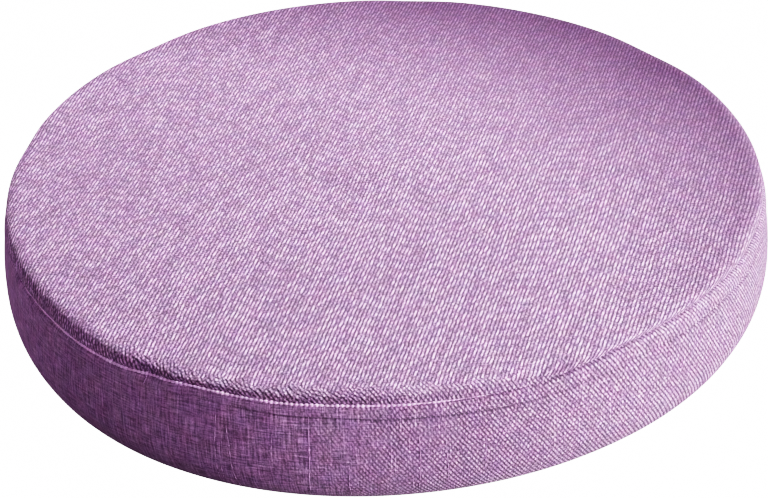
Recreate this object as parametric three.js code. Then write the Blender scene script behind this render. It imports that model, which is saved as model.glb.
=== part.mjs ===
// A round chair cushion: a thick pad in a sewn cloth cover, lying on its back.
// Units are millimetres and +Z is up. The origin is the middle of the underside,
// and the side that carries the sharpest pucker faces -Y and -X.

import * as THREE from 'three';
import { mergeVertices } from 'three/addons/utils/BufferGeometryUtils.js';

// Driving sizes of the pad and its cover
const WIDEST_RADIUS = 200;
const WIDEST_HEIGHT = 30;
const SEAM_HEIGHT = 58.5;
const RIM_HEIGHT = 65.5;
const CROWN_RISE = 3;
const UPPER_PULL_IN = 3.4;
const LOWER_PULL_IN = 10;
const RIM_ROLL_WIDTH = 10;
const FLAT_RADIUS = 184;
const TURNS_ROUND = 112;

// Rings of the under seam, from the flat underside out to the side band
const UNDER_SEAM = [
  { step: 'edge of the flat', radius: FLAT_RADIUS, height: 0 },
  { step: 'groove', radius: FLAT_RADIUS + 3, height: 2.2 },
  { step: 'lip', radius: FLAT_RADIUS + 5.2, height: 1.2 },
];

// Heights of the side band's rings below the upper seam
const BAND_HEIGHTS = [4, 8, 13, 20, 30, 40, 47];

// Rings of the upper seam: how far above or below the sewn line, and how far proud of the band
const UPPER_SEAM = [
  { step: 'foot of the seam allowance', above: -6.6, proud: 0 },
  { step: 'edge of the seam allowance', above: -5.6, proud: 0.8 },
  { step: 'side of the groove', above: -1.5, proud: 0.5 },
  { step: 'sewn line', above: 0, proud: -1.5 },
  { step: 'lip', above: 0.9, proud: 0.6 },
];

// The roll of the top panel over the pad's edge: steps, and the power that squares its quarter ellipse
const ROLL_STEPS = 5;
const ROLL_POWER = 0.7;

// Radii of the top panel's crowned middle
const CROWN_RADII = [173, 157, 137, 113, 88, 61, 32];
const CROWN_POWER = 2.4;

// The cover is a little out of round: waves round the edge, their size and where they peak
const PLAN_WAVES = [
  { waves: 3, size: 1.4, peak: -3 },
  { waves: 4, size: 0.6, peak: -38 },
];

// The sewn line wanders up and down, in degrees round the edge from +X
const SEAM_WANDER = [
  { at: -168, rise: -1.5 },
  { at: -147, rise: -3.0 },
  { at: -127, rise: -1.8 },
  { at: -117, rise: 1.8 },
  { at: -102, rise: 0.2 },
  { at: -71, rise: -1.3 },
  { at: -52, rise: 3.6 },
  { at: -38, rise: 3.2 },
  { at: -24, rise: 0.0 },
  { at: 5, rise: 0.4 },
  { at: 60, rise: -0.9 },
  { at: 118, rise: 0.7 },
];

// Places where the stitching draws the top panel's roll in, with their width along the edge
const PUCKERS = [
  { at: -125, width: 11, depth: 2.4 },
  { at: -147, width: 24, depth: 1.0 },
  { at: -98, width: 20, depth: 0.7 },
  { at: -66, width: 22, depth: 0.9 },
  { at: -22, width: 18, depth: 0.8 },
  { at: 38, width: 26, depth: 1.3 },
  { at: 84, width: 18, depth: 0.7 },
  { at: 131, width: 24, depth: 1.0 },
  { at: 166, width: 18, depth: 0.8 },
];

// Soft hollows and swells of the top panel
const TOP_SWELLS = [
  { along: 0.021, across: 0.008, size: 0.5, shift: 0.6 },
  { along: -0.009, across: 0.025, size: 0.45, shift: 2.1 },
  { along: 0.034, across: -0.029, size: 0.25, shift: 4.0 },
];

const COVER_COLOUR = 0xb58cb9;

const turn = (degrees) => THREE.MathUtils.degToRad(degrees);
const smooth = THREE.MathUtils.smoothstep;

// Radius of the side band: widest at WIDEST_HEIGHT, drawn in towards both seams
function bandRadius(height) {
  if (height < WIDEST_HEIGHT) {
    const below = (WIDEST_HEIGHT - height) / WIDEST_HEIGHT;
    return WIDEST_RADIUS - LOWER_PULL_IN * below ** 3;
  }
  const above = (height - WIDEST_HEIGHT) / (SEAM_HEIGHT - WIDEST_HEIGHT);
  return WIDEST_RADIUS - UPPER_PULL_IN * above ** 2;
}

// Half section of the cushion, from the axis under it, round the edge, to the axis on top
function halfSection() {
  const points = [new THREE.Vector2(0, 0)];
  for (const { radius, height } of UNDER_SEAM) {
    points.push(new THREE.Vector2(radius, height));
  }
  for (const height of BAND_HEIGHTS) {
    points.push(new THREE.Vector2(bandRadius(height), height));
  }
  for (const { above, proud } of UPPER_SEAM) {
    const height = SEAM_HEIGHT + above;
    points.push(new THREE.Vector2(bandRadius(height) + proud, height));
  }
  const lip = points[points.length - 1];
  const rimRadius = lip.x - RIM_ROLL_WIDTH;
  for (let step = 1; step <= ROLL_STEPS; step += 1) {
    const angle = (step / ROLL_STEPS) * (Math.PI / 2);
    const outward = step < ROLL_STEPS ? Math.cos(angle) ** ROLL_POWER : 0;
    const upward = Math.sin(angle) ** ROLL_POWER;
    const radius = rimRadius + RIM_ROLL_WIDTH * outward;
    points.push(new THREE.Vector2(radius, lip.y + (RIM_HEIGHT - lip.y) * upward));
  }
  for (const radius of [...CROWN_RADII, 0]) {
    const rise = CROWN_RISE * (1 - (radius / rimRadius) ** CROWN_POWER);
    points.push(new THREE.Vector2(radius, RIM_HEIGHT + rise));
  }
  return points;
}

// How far the plan departs from a true circle at an angle round the edge
function planWave(angle) {
  let sum = 0;
  for (const { waves, size, peak } of PLAN_WAVES) {
    sum += size * Math.cos(waves * (angle - turn(peak)));
  }
  return sum;
}

// Height of the sewn line over its mean, eased from one row of SEAM_WANDER to the next
function seamWander(angle) {
  const degrees = THREE.MathUtils.radToDeg(angle);
  const first = SEAM_WANDER[0];
  const rows = [...SEAM_WANDER, { at: first.at + 360, rise: first.rise }];
  const place = degrees < first.at ? degrees + 360 : degrees;
  const next = rows.findIndex((row) => row.at > place);
  const from = rows[next - 1];
  const to = rows[next];
  const share = smooth(place, from.at, to.at);
  return from.rise + (to.rise - from.rise) * share;
}

// Depth of all puckers together at an angle round the edge, each a bell curve
function puckerDepth(angle) {
  let sum = 0;
  for (const { at, width, depth } of PUCKERS) {
    const away = Math.atan2(Math.sin(angle - turn(at)), Math.cos(angle - turn(at)));
    const arc = away * WIDEST_RADIUS;
    sum += depth * Math.exp(-((arc / width) ** 2));
  }
  return sum;
}

// Soft unevenness of the top panel at a place in plan
function topSwell(x, y) {
  let sum = 0;
  for (const { along, across, size, shift } of TOP_SWELLS) {
    sum += size * Math.sin(along * x + across * y + shift);
  }
  return sum;
}

// Moves each point of the turned shape: out of round, up or down with the seam, and in at puckers
function makeUneven(geometry) {
  const position = geometry.getAttribute('position');
  const point = new THREE.Vector3();
  for (let index = 0; index < position.count; index += 1) {
    point.fromBufferAttribute(position, index);
    const radius = Math.hypot(point.x, point.y);
    const angle = Math.atan2(point.y, point.x);
    const nearSeam = smooth(point.z, WIDEST_HEIGHT, SEAM_HEIGHT);
    const onRoll = 1 - smooth(point.z, SEAM_HEIGHT, RIM_HEIGHT);
    const inRoll = smooth(point.z, SEAM_HEIGHT - 5, SEAM_HEIGHT + 2);
    const onEdge = smooth(radius, FLAT_RADIUS - 50, FLAT_RADIUS + 8);
    const onTop = smooth(point.z, RIM_HEIGHT - 3, RIM_HEIGHT);
    const pucker = puckerDepth(angle) * inRoll * onEdge;
    const out = planWave(angle) * (radius / WIDEST_RADIUS) ** 2 - pucker;
    const lift = seamWander(angle) * nearSeam * onRoll - 0.5 * pucker * (1 - onRoll);
    const swell = topSwell(point.x, point.y) * onTop;
    const scale = radius > 0 ? (radius + out) / radius : 1;
    position.setXYZ(index, point.x * scale, point.y * scale, point.z + lift + swell);
  }
}

// Leaves out the triangles that have shrunk to a line at the axis
function dropFlatTriangles(geometry) {
  const index = geometry.getIndex().array;
  const kept = [];
  for (let i = 0; i < index.length; i += 3) {
    const [a, b, c] = [index[i], index[i + 1], index[i + 2]];
    if (a !== b && b !== c && c !== a) {
      kept.push(a, b, c);
    }
  }
  geometry.setIndex(kept);
}

function cushionGeometry() {
  const turned = new THREE.LatheGeometry(halfSection(), TURNS_ROUND);
  turned.rotateX(Math.PI / 2);
  turned.deleteAttribute('normal');
  turned.deleteAttribute('uv');
  const geometry = mergeVertices(turned, 1e-3);
  dropFlatTriangles(geometry);
  makeUneven(geometry);
  geometry.computeBoundingBox();
  const middle = geometry.boundingBox.getCenter(new THREE.Vector3());
  geometry.translate(-middle.x, -middle.y, 0);
  geometry.computeVertexNormals();
  return geometry;
}

const cover = new THREE.MeshStandardMaterial({
  color: COVER_COLOUR,
  roughness: 0.9,
  metalness: 0,
});

const cushion = new THREE.Mesh(cushionGeometry(), cover);
cushion.name = 'cushion';

const group = new THREE.Group();
group.add(cushion);

export default group;
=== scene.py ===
"""A round chair cushion in mauve linen-look cloth, lying on a plain pale floor.

The cover is a grid of rings round the cushion's axis. Its half section and its unevenness are worked out
in millimetres with numpy, the cloth is loosened by simulation, and the mesh is written in metres.
"""
import math

import bpy
import numpy as np
from mathutils import Matrix


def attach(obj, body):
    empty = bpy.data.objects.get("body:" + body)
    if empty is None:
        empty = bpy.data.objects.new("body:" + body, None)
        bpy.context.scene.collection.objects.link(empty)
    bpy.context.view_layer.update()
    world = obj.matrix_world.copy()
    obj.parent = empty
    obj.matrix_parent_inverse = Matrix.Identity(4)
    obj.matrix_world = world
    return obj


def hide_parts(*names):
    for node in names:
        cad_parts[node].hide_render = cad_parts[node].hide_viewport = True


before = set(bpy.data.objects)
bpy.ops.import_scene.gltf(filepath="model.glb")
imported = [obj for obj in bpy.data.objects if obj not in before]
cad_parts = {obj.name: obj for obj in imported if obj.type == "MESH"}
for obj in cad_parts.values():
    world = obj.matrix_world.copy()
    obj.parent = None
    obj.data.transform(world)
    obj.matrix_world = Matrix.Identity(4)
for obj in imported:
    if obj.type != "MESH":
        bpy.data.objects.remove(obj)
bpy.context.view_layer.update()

MM = 0.001

# Driving sizes of the pad and its cover, in millimetres, as in the solid
WIDEST_RADIUS = 200.0
WIDEST_HEIGHT = 30.0
SEAM_HEIGHT = 58.5
RIM_HEIGHT = 65.5
CROWN_RISE = 3.0
CROWN_POWER = 2.4
UPPER_PULL_IN = 3.4
LOWER_PULL_IN = 10.0
RIM_ROLL_WIDTH = 10.0
ROLL_POWER = 0.7
FLAT_RADIUS = 184.0

# Rings of the under seam: how far out from the flat, and height
UNDER_SEAM = (("edge", 0.0, 0.0), ("sewn line", 3.0, 2.2), ("lip", 5.2, 1.2))

# Heights of the side band's rings below the upper seam
BAND_HEIGHTS = (4.0, 8.0, 13.0, 20.0, 30.0, 40.0, 47.0)

# Rings of the upper seam: how far above the sewn line, and how far proud of the band
UPPER_SEAM = (
    ("foot", -10.0, 0.0), ("side of the groove", -1.3, 0.1), ("sewn line", 0.0, -0.6), ("lip", 0.9, 0.3),
)

# Radii of the rings under the pad, and degrees of the roll's quarter turn from ring to ring
FLAT_RADII = (0.0, 60.0, 120.0, 165.0)
ROLL_STEP = 10.0

# Radii of the crowned middle of the top panel
CROWN_RADII = (173.0, 157.0, 137.0, 113.0, 88.0, 61.0, 32.0, 0.0)

# The cover is a little out of round: (waves round the edge, size, where they peak in degrees)
PLAN_WAVES = ((3, 1.4, -3.0), (4, 0.6, -38.0))

# The sewn line wanders: (degrees round the edge from +X, rise)
SEAM_WANDER = (
    (-168.0, -1.5), (-147.0, -3.0), (-127.0, -1.8), (-117.0, 1.8), (-102.0, 0.2), (-71.0, -1.3),
    (-52.0, 3.6), (-38.0, 3.2), (-24.0, 0.0), (5.0, 0.4), (60.0, -0.9), (118.0, 0.7),
)

# Places where the stitching draws the top panel's roll in: (degrees, width along the edge, depth)
PUCKERS = (
    (-125.0, 11.0, 2.4), (-147.0, 24.0, 1.0), (-98.0, 20.0, 0.7), (-66.0, 22.0, 0.9), (-22.0, 18.0, 0.8),
    (38.0, 26.0, 1.3), (84.0, 18.0, 0.7), (131.0, 24.0, 1.0), (166.0, 18.0, 0.8),
)

# Soft hollows and swells of the top panel: (cycles along X, along Y in radians a millimetre, size, shift)
TOP_SWELLS = ((0.021, 0.008, 0.5, 0.6), (-0.009, 0.025, 0.45, 2.1), (0.034, -0.029, 0.25, 4.0))

# Millimetres between the cover's rings in each zone, how many points go round a ring, and where it starts
ZONE_SPACING = {
    "flat": 20.0, "under seam": 1.1, "band": 2.4, "upper seam": 0.42, "roll": 0.9, "crown": 7.0,
}
TURNS = 800
START_ANGLE = math.pi / 2


def turn_angles(turns):
    """Angle of each point round a ring."""
    return START_ANGLE + np.arange(turns) * (2 * math.pi / turns)


def to_degrees(angle):
    """Degrees round the edge, from -180 to 180."""
    return np.degrees(np.arctan2(np.sin(angle), np.cos(angle)))


def smooth(value, low, high):
    """Eases from 0 at low to 1 at high: three times the square of the share less twice its cube."""
    share = np.clip((value - low) / (high - low), 0.0, 1.0)
    return share * share * (3.0 - 2.0 * share)


def ripple(value, waves):
    """Sum of sine waves of a value: (size, radians for each unit of the value, shift)."""
    return sum(size * np.sin(rate * value + shift) for size, rate, shift in waves)


def band_radius(height):
    """Widest at WIDEST_HEIGHT, drawn in by the cube of the drop below and the square of the rise above."""
    below = np.clip((WIDEST_HEIGHT - height) / WIDEST_HEIGHT, 0.0, None)
    above = np.clip((height - WIDEST_HEIGHT) / (SEAM_HEIGHT - WIDEST_HEIGHT), 0.0, None)
    return WIDEST_RADIUS - LOWER_PULL_IN * below**3 - UPPER_PULL_IN * above**2


def section_rows():
    """Half section from under the middle, round the edge, to over the middle: name, radius, height, zone."""
    rows = [("", radius, 0.0, "flat") for radius in FLAT_RADII]
    for name, out, height in UNDER_SEAM:
        rows.append(("under " + name, FLAT_RADIUS + out, height, "under seam"))
    rows += [("", float(band_radius(height)), height, "band") for height in BAND_HEIGHTS]
    for name, above, proud in UPPER_SEAM:
        height = SEAM_HEIGHT + above
        rows.append(("upper " + name, float(band_radius(height)) + proud, height, "upper seam"))
    _, lip_radius, lip_height, _ = rows[-1]
    rim_radius = lip_radius - RIM_ROLL_WIDTH
    for turn in np.radians(np.arange(ROLL_STEP, 90.0, ROLL_STEP)):
        radius = rim_radius + RIM_ROLL_WIDTH * math.cos(turn) ** ROLL_POWER
        height = lip_height + (RIM_HEIGHT - lip_height) * math.sin(turn) ** ROLL_POWER
        rows.append(("", radius, height, "roll"))
    rows.append(("rim", rim_radius, RIM_HEIGHT, "roll"))
    for radius in CROWN_RADII:
        rise = CROWN_RISE * (1.0 - (radius / rim_radius) ** CROWN_POWER)
        rows.append(("", radius, RIM_HEIGHT + rise, "crown"))
    return rows


def through(known, values, wanted):
    """Smooth curve through values at known places, read at the wanted ones: cubic pieces whose slope at
    each known place is that of the line between its neighbours."""
    slopes = np.gradient(values, known, axis=0)
    piece = np.clip(np.searchsorted(known, wanted, side="right") - 1, 0, len(known) - 2)
    span = known[piece + 1] - known[piece]
    share = (wanted - known[piece]) / span
    tail = (slice(None),) + (None,) * (values.ndim - 1)
    u, w = share[tail], span[tail]
    start, end = values[piece], values[piece + 1]
    return (
        start * (2 * u**3 - 3 * u**2 + 1)
        + end * (3 * u**2 - 2 * u**3)
        + slopes[piece] * w * (u**3 - 2 * u**2 + u)
        + slopes[piece + 1] * w * (u**3 - u**2)
    )


class Section:
    """The half section ring by ring: path length, radius and height, and the rings that have a name."""

    def __init__(self, coarseness=1.0):
        rows = section_rows()
        points = np.array([row[1:3] for row in rows])
        gaps = np.hypot(*np.diff(points, axis=0).T)
        known = np.concatenate([[0.0], np.cumsum(gaps)])
        wanted = [0.0]
        for number, gap in enumerate(gaps):
            steps = max(1, round(gap / (ZONE_SPACING[rows[number + 1][3]] * coarseness)))
            wanted += list(known[number] + gap * np.arange(1, steps + 1) / steps)
        self.path = np.array(wanted)
        sampled = through(known, points, self.path)
        self.radius = np.clip(sampled[:, 0], 0.0, None)
        self.height = np.clip(sampled[:, 1], 0.0, None)
        nearest = [int(np.argmin(abs(self.path - place))) for place in known]
        self.named = {row[0]: ring for row, ring in zip(rows, nearest) if row[0]}


def away(angle, degrees):
    """Signed arc in millimetres round the widest edge from a place given in degrees."""
    turn = angle - math.radians(degrees)
    return np.arctan2(np.sin(turn), np.cos(turn)) * WIDEST_RADIUS


def plan_wave(angle):
    """Sum of cosines round the edge."""
    return sum(size * np.cos(waves * (angle - math.radians(peak))) for waves, size, peak in PLAN_WAVES)


def seam_wander(angle):
    """Rise of the sewn line, eased from one row of SEAM_WANDER to the next."""
    degrees = to_degrees(angle)
    first = SEAM_WANDER[0]
    degrees = np.where(degrees < first[0], degrees + 360.0, degrees)
    rows = np.array(SEAM_WANDER + ((first[0] + 360.0, first[1]),))
    place = np.clip(np.searchsorted(rows[:, 0], degrees, side="right") - 1, 0, len(rows) - 2)
    share = smooth(degrees, rows[place, 0], rows[place + 1, 0])
    return rows[place, 1] + (rows[place + 1, 1] - rows[place, 1]) * share


def pucker_depth(angle):
    """Sum of bell curves, one for each pucker."""
    return sum(depth * np.exp(-((away(angle, at) / width) ** 2)) for at, width, depth in PUCKERS)


def top_swell(x, y):
    """Sum of slow sine waves over the top panel."""
    return sum(size * np.sin(along * x + across * y + shift) for along, across, size, shift in TOP_SWELLS)


# Where the unevenness eases in: from this far below the sewn line to this far above it, from this far
# inside the edge of the flat to this far outside it, and below the rim; and how much a pucker sinks the roll
SEAM_EASE = (5.0, 2.0)
EDGE_EASE = (50.0, 8.0)
RIM_EASE = 3.0
PUCKER_SINK = 0.5


def uneven(section, turns):
    """Rings of points in millimetres, rings by turns by three: the half section turned round the axis, then
    moved out of round, up or down with the seam, in at the puckers and up and down over the top panel."""
    radius, angle = np.meshgrid(section.radius, turn_angles(turns), indexing="ij")
    height = np.broadcast_to(section.height[:, None], radius.shape)
    near_seam = smooth(height, WIDEST_HEIGHT, SEAM_HEIGHT)
    on_roll = 1.0 - smooth(height, SEAM_HEIGHT, RIM_HEIGHT)
    in_roll = smooth(height, SEAM_HEIGHT - SEAM_EASE[0], SEAM_HEIGHT + SEAM_EASE[1])
    on_edge = smooth(radius, FLAT_RADIUS - EDGE_EASE[0], FLAT_RADIUS + EDGE_EASE[1])
    on_top = smooth(height, RIM_HEIGHT - RIM_EASE, RIM_HEIGHT)
    pucker = pucker_depth(angle) * in_roll * on_edge
    out = radius + plan_wave(angle) * (radius / WIDEST_RADIUS) ** 2 - pucker
    lift = seam_wander(angle) * near_seam * on_roll - PUCKER_SINK * pucker * (1.0 - on_roll)
    swell = top_swell(radius * np.cos(angle), radius * np.sin(angle)) * on_top
    grid = np.stack([out * np.cos(angle), out * np.sin(angle), height + lift + swell], axis=-1)
    points = grid.reshape(-1, 3)
    middle = (points.min(axis=0) + points.max(axis=0)) / 2
    return grid - np.array([middle[0], middle[1], 0.0])


# The fan of furrows that the sharpest pucker draws into the roll: its place in degrees, count, reach, depth,
# how far below the lip it meets, its waver in radians, and the reach over which it starts
FAN_AT = -125.0
FAN_FURROWS = 9
FAN_REACH = 13.0
FAN_DEPTH = 0.45
FAN_BELOW = 0.5
FAN_WAVER = ((1.3, 3.0, 0.0),)
FAN_START = (0.5, 4.0)

# Slanting furrows along the roll: (from, to in degrees round the edge, spacing, lean, depth)
DRAWN_LINES = (
    (-124.0, -92.0, 9.2, 1.6, 0.50), (-92.0, -66.0, 8.4, 0.9, 0.16), (-176.0, -130.0, 11.0, 3.4, 0.30),
)

# Up the roll the furrows start and fade over these path lengths, and along it they fade over this arc,
# waver and grow deeper and shallower
DRAWN_START = (-0.2, 1.2)
DRAWN_FADE = (9.0, 18.0)
DRAWN_EASE = 7.0
DRAWN_WAVER = ((1.7, 1 / 17.0, 0.0), (0.9, 1 / 6.1, 1.0))
DRAWN_SWING = ((0.35, 1 / 9.0, 0.0),)


def drawn_cloth(section, turns):
    """How far the roll is pressed in by drawn cloth, rings by turns. Each slanting furrow is a power of the
    cosine of the arc plus lean times the way up the roll. The fan's furrows spread from its pucker."""
    path, angle = np.meshgrid(section.path, turn_angles(turns), indexing="ij")
    up = path - section.path[section.named["upper lip"]]
    on_roll = smooth(up, *DRAWN_START) * (1.0 - smooth(up, *DRAWN_FADE))
    depth = np.zeros_like(path)
    for first, last, spacing, lean, size in DRAWN_LINES:
        arc = away(angle, (first + last) / 2)
        half = math.radians(last - first) / 2 * WIDEST_RADIUS
        inside = 1.0 - smooth(abs(arc), half - DRAWN_EASE, half + DRAWN_EASE)
        phase = 2 * math.pi * (arc + ripple(arc, DRAWN_WAVER) + lean * up) / spacing
        swing = 0.65 + ripple(arc, DRAWN_SWING)
        depth += size * inside * np.clip(np.cos(phase), 0.0, None) ** 1.5 * swing
    arc, over = away(angle, FAN_AT), up + FAN_BELOW
    reach, spread = np.hypot(arc, over), np.arctan2(over, arc)
    fan = np.cos(spread * 2 * FAN_FURROWS + ripple(spread, FAN_WAVER)) * np.exp(-((reach / FAN_REACH) ** 2))
    depth += FAN_DEPTH * fan * smooth(reach, *FAN_START)
    return depth * on_roll


# The seam allowance under the band: how far its edge lies below the sewn line by degrees round the edge, how
# far it stands out, and the crease along it
ALLOWANCE_DEPTHS = ((-180.0, 6.2), (-97.0, 6.2), (-55.0, 9.2), (180.0, 9.2))
ALLOWANCE_PROUD = 0.35
CREASE_DEPTH = 0.9
CREASE_WIDTH = 0.6

# The step rises over this path below the sewn line, falls over this one about its edge, and has its crease
# this far past the edge
STEP_RISE = (0.0, 1.5)
STEP_FALL = (-0.5, 0.7)
CREASE_PAST = 0.3

# It dies away round the tightly drawn side: degrees, and the arcs on either hand over which it comes back
TIGHT_SIDE = -160.0
TIGHT_ARC = (95.0, 190.0)
TIGHT_SHARE = 0.15

# Waves of the allowance's edge round the cushion
EDGE_WAVER = ((0.35, 7.0, 0.0), (0.2, 23.0, 0.0))

# Painted shade: the crease is darkened from and to these degrees, and the sewn line by a share over a width
CREASE_SHADE_STARTS = (-117.0, -102.0)
CREASE_SHADE_EASES = (-78.0, -60.0)
SEWN_LINE_SHADE = 0.5
SEWN_WIDTH = 0.6


def allowance(section, turns):
    """How far the band stands out over its seam allowance, rings by turns, and how much painted shade lies
    along its crease, from 0 to 1. The step ends at the allowance's edge, with a bell-shaped crease along it,
    and both die away on the tightly drawn left side. The crease's painted shade is darkest in front, and the
    sewn line is given painted shade too."""
    angle = turn_angles(turns)
    degrees = to_degrees(angle)
    known, depths = np.array(ALLOWANCE_DEPTHS).T
    edge = np.interp(degrees, known, depths) + ripple(angle, EDGE_WAVER)
    shown = TIGHT_SHARE + (1.0 - TIGHT_SHARE) * smooth(abs(away(angle, TIGHT_SIDE)), *TIGHT_ARC)
    below = section.path[section.named["upper sewn line"]] - section.path[:, None]
    past = below - edge
    over = smooth(below, *STEP_RISE) * (1.0 - smooth(past, *STEP_FALL))
    crease = np.exp(-(((past - CREASE_PAST) / CREASE_WIDTH) ** 2)) * shown
    sewn = SEWN_LINE_SHADE * np.exp(-((below / SEWN_WIDTH) ** 2)) * shown
    # Painted shade: the crease darkens the band's tone, most in front, and the sewn line is darkened too
    crease_shade = crease * smooth(degrees, *CREASE_SHADE_STARTS) * (1.0 - 0.5 * smooth(degrees, *CREASE_SHADE_EASES))
    return ALLOWANCE_PROUD * over * shown - CREASE_DEPTH * crease, np.maximum(crease_shade, sewn)


# Along the drawn front of the roll the band's slanting weave runs on past the sewn line: the middle in
# degrees, the arcs on either hand over which it ends, and how far and how raggedly it runs on
RUN_ON_AT = -112.0
RUN_ON_ARC = (95.0, 175.0)
RUN_ON = 9.5
RUN_ON_WAVER = ((1.6, 41.0, 0.0), (1.1, 97.0, 1.0))


def band_end(section, turns):
    """Ring where the band's weave ends at each turn: at the sewn line, or raggedly on the roll in front."""
    angle = turn_angles(turns)
    drawn = 1.0 - smooth(abs(away(angle, RUN_ON_AT)), *RUN_ON_ARC)
    ragged = RUN_ON + ripple(angle, RUN_ON_WAVER)
    path = section.path[section.named["upper sewn line"]] + 0.1 + ragged * drawn
    return np.searchsorted(section.path, path)


def grid_faces(rings, turns):
    """Quads between neighbouring rings, and fans of triangles at the two poles, all wound to face outwards.
    Vertex 0 is the pole underneath, the last one is the pole on top, and the rings lie between them."""
    turn = np.arange(turns)
    following = (turn + 1) % turns
    ring = np.arange(rings - 1)[:, None] * turns + 1
    quads = np.stack([ring + turn, ring + following, ring + turns + following, ring + turns + turn], axis=-1)
    last = 1 + (rings - 1) * turns
    under = np.stack([np.zeros(turns, int), 1 + following, 1 + turn], axis=-1)
    over = np.stack([last + turn, last + following, np.full(turns, 1 + rings * turns)], axis=-1)
    return under, quads.reshape(-1, 4), over


def by_point(values):
    """Values of a grid, rings by turns, in the order of its mesh's points, where each pole is one point."""
    return np.concatenate([values[:1, 0], values[1:-1].reshape((-1,) + values.shape[2:]), values[-1:, 0]])


def grid_mesh(name, grid):
    """Closed mesh of a grid in millimetres, and its faces from grid_faces."""
    faces = grid_faces(grid.shape[0] - 2, grid.shape[1])
    mesh = bpy.data.meshes.new(name)
    mesh.from_pydata((by_point(grid) * MM).tolist(), [], sum((part.tolist() for part in faces), []))
    mesh.update()
    return mesh, faces


def cover_mesh(name, section, grid):
    """Closed mesh of the grid, with the cloth's own coordinates in a UV map named cloth, in metres.
    A panel's UV is the direction round the axis times the path length from its middle; the band's is the
    arc round the widest edge and the path length above its lower seam."""
    mesh, (under, quads, over) = grid_mesh(name, grid)
    rings, turns = grid.shape[0] - 2, grid.shape[1]
    sizes = np.repeat([3, 4, 3], [turns, len(quads), turns])
    face_ring = np.repeat(np.arange(rings + 1), turns)
    face_turn = np.tile(np.arange(turns), rings + 1)
    under_sewn = section.named["under sewn line"]
    on_band = (face_ring >= under_sewn) & (face_ring < band_end(section, turns)[face_turn])
    over_seam = face_ring >= section.named["upper sewn line"]
    corner = np.concatenate([under.ravel(), quads.ravel(), over.ravel()])
    corner_ring = (corner - 1) // turns + 1
    at_pole = (corner_ring == 0) | (corner_ring == rings + 1)
    corner_turn = np.repeat(face_turn, sizes)
    corner_turn = corner_turn + (~at_pole & ((corner - 1) % turns != corner_turn))
    angle = START_ANGLE + corner_turn * (2 * math.pi / turns)
    path = section.path[corner_ring]
    reach = np.where(np.repeat(over_seam, sizes), section.path[-1] - path, path)
    panel = np.stack([reach * np.cos(angle), reach * np.sin(angle)], axis=-1)
    band = np.stack([(angle - START_ANGLE) * WIDEST_RADIUS, path - section.path[under_sewn]], axis=-1)
    cloth = np.where(np.repeat(on_band, sizes)[:, None], band, panel) * MM
    # The crease attribute carries painted shade for the crease and the sewn line into the band's colour
    crease = by_point(allowance(section, turns)[1])
    mesh.attributes.new("crease", "FLOAT", "POINT").data.foreach_set("value", crease.astype(np.float32))
    layer = mesh.uv_layers.new(name="cloth")
    layer.data.foreach_set("uv", cloth.astype(np.float32).ravel())
    mesh.polygons.foreach_set("material_index", on_band.astype(np.int32))
    mesh.polygons.foreach_set("use_smooth", np.ones(len(mesh.polygons), bool))
    mesh.update()
    return mesh


def add_object(name, data):
    """A new object in the scene."""
    item = bpy.data.objects.new(name, data)
    bpy.context.collection.objects.link(item)
    return item


class Nodes:
    """Adds nodes to a tree and links them, so that a material reads as a list of steps."""

    def __init__(self, tree):
        self.tree = tree

    def put(self, socket, value):
        """Links a socket to another one, or sets its value."""
        if isinstance(value, bpy.types.NodeSocket):
            self.tree.links.new(value, socket)
        else:
            socket.default_value = value

    def add(self, kind, settings=None, **inputs):
        """A node with its settings and inputs."""
        node = self.tree.nodes.new("ShaderNode" + kind)
        for name, value in (settings or {}).items():
            setattr(node, name, value)
        for name, value in inputs.items():
            self.put(node.inputs[name.replace("_", " ")], value)
        return node

    def math(self, operation, *values, clamp=False):
        """Arithmetic on values, held between 0 and 1 where clamp is true."""
        node = self.add("Math", {"operation": operation, "use_clamp": clamp})
        for socket, value in zip(node.inputs, values):
            self.put(socket, value)
        return node.outputs[0]

    def vector(self, operation, *values):
        """Arithmetic on vectors."""
        node = self.add("VectorMath", {"operation": operation})
        for socket, value in zip(node.inputs, values):
            self.put(socket, value)
        return node.outputs["Value" if operation == "DOT_PRODUCT" else "Vector"]

    def scaled(self, vector, factor):
        """A vector times a factor."""
        node = self.add("VectorMath", {"operation": "SCALE"}, Scale=factor)
        self.put(node.inputs[0], vector)
        return node.outputs["Vector"]

    def ranged(self, value, low, high, start=0.0, end=1.0):
        """Eases value from start at low to end at high."""
        settings = {"interpolation_type": "SMOOTHSTEP"}
        node = self.add("MapRange", settings, Value=value, To_Min=start, To_Max=end)
        self.put(node.inputs["From Min"], low)
        self.put(node.inputs["From Max"], high)
        return node.outputs["Result"]

    def noise(self, place, scale, detail=2.0, roughness=0.5, out="Fac", dimensions="2D"):
        """Smooth noise around 0.5."""
        inputs = {"Vector": place, "Scale": scale, "Detail": detail, "Roughness": roughness}
        return self.add("TexNoise", {"noise_dimensions": dimensions}, **inputs).outputs[out]

    def swing(self, place, scale, **options):
        """Smooth noise around 0."""
        return self.math("SUBTRACT", self.noise(place, scale, **options), 0.5)

    def drift(self, place, scale, **options):
        """Three smooth noises around 0, as a vector."""
        return self.vector("SUBTRACT", self.noise(place, scale, out="Color", **options), (0.5, 0.5, 0.5))

    def multiplied(self, colour, tint):
        """A colour times a tint."""
        node = self.add("Mix", {"data_type": "RGBA", "blend_type": "MULTIPLY"})
        for number, value in ((0, 1.0), (6, colour), (7, tint)):
            self.put(node.inputs[number], value)
        return node.outputs[2]

    def turned(self, place, degrees):
        """Turns a place so that a line at this many degrees lies along X."""
        angle = self.math("MULTIPLY", degrees, -math.pi / 180)
        node = self.add("VectorRotate", {"rotation_type": "Z_AXIS"}, Vector=place, Angle=angle)
        return node.outputs["Vector"]

    def parts(self, place):
        """X and Y of a place."""
        node = self.add("SeparateXYZ", Vector=place)
        return node.outputs["X"], node.outputs["Y"]

    def place(self, x, y):
        """A place from its X and Y."""
        return self.add("CombineXYZ", X=x, Y=y).outputs["Vector"]


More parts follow.
